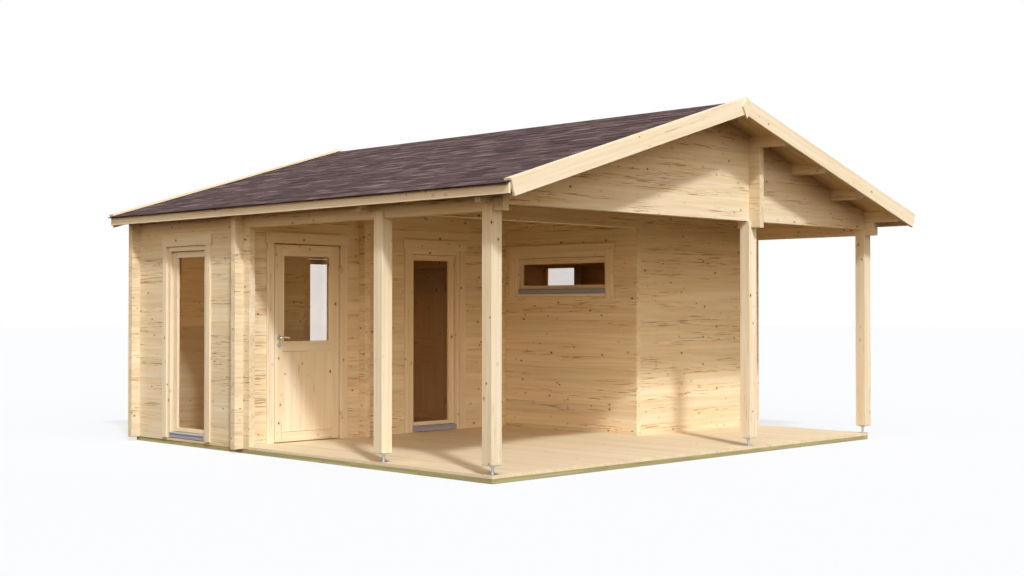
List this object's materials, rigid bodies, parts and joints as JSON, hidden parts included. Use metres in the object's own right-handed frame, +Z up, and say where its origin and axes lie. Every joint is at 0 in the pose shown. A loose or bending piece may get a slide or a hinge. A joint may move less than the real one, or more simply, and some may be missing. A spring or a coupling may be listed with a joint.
{
  "type": "log sauna cabin",
  "caption": "Gabled log sauna cabin with an L-shaped covered terrace on square posts, a glazed entrance door, tall windows and a low sauna window.",
  "frame": {"origin": "middle of the cabin's bounding box at the underside of the foundation beams", "axes": "+Z up, +X to the right along the front gable seen from the front, +Y to the back, so the front gable and the entrance face -Y"},
  "size_m": [6.28, 6.306, 3.4591],
  "materials": {
    "spruce": "raw planed log, matte",
    "planed_spruce": "raw planed board, matte",
    "treated_timber": "green pressure-treated, sawn",
    "steel": "zinc-plated or satin steel",
    "shingles": "mineral-surfaced bitumen, rough",
    "glass": "clear",
    "sill_metal": "powder-coated blue grey"
  },
  "bodies": {
    "cabin": {"edge_beam_left": "treated_timber", "edge_beam_right": "treated_timber", "floor_joists": "treated_timber", "terrace_deck": "planed_spruce", "room_floors": "planed_spruce", "left_wall": "spruce", "right_wall": "spruce", "back_wall": "spruce", "back_gable": "spruce", "door_wall": "spruce", "door_wall_gable": "spruce", "window_wall": "spruce", "entry_partition": "spruce", "sauna_side_wall": "spruce", "wash_wall": "spruce", "sauna_partition": "spruce", "sauna_front_wall": "spruce", "inner_gable": "spruce", "front_gable": "spruce", "gable_cross_log": "spruce", "left_eave_beam": "spruce", "right_eave_beam": "spruce", "roof_purlins": "spruce", "posts": "spruce", "post_feet": "steel", "roof_boards_left": "spruce", "roof_boards_right": "spruce", "shingles_left": "shingles", "shingles_right": "shingles", "ridge_cap": "shingles", "front_barge_boards": "planed_spruce", "back_barge_boards": "planed_spruce", "eave_fascias": "planed_spruce", "gable_diamonds": "planed_spruce", "window_frames": "planed_spruce", "sauna_window_frame": "planed_spruce", "window_glass": "glass", "casings": "planed_spruce", "window_sills": "sill_metal", "door_frame": "planed_spruce", "door_hinges": "steel", "inner_door_frame": "planed_spruce"},
    "entrance_door": {"door_leaf": "planed_spruce", "door_glass": "glass"},
    "lever": {"door_lever": "steel"},
    "inner_door": {"inner_door_leaf": "planed_spruce"}
  },
  "joints": [
    {"name": "entrance_door_swing", "type": "hinge", "parent": "cabin", "child": "entrance_door", "pos_m": [-1.687, 0.863, 1.1], "axis": [0, 0, 1], "range_deg": [0, 105]},
    {"name": "lever_turn", "type": "hinge", "parent": "entrance_door", "child": "lever", "pos_m": [-2.462, 0.924, 1.146], "axis": [0, 1, 0], "range_deg": [0, 40], "stiffness_Nm_per_rad": 2, "springref_deg": -34.38},
    {"name": "inner_door_swing", "type": "hinge", "parent": "cabin", "child": "inner_door", "pos_m": [0.774, 1.959, 1], "axis": [0, 0, 1], "range_deg": [0, 95]}
  ]
}
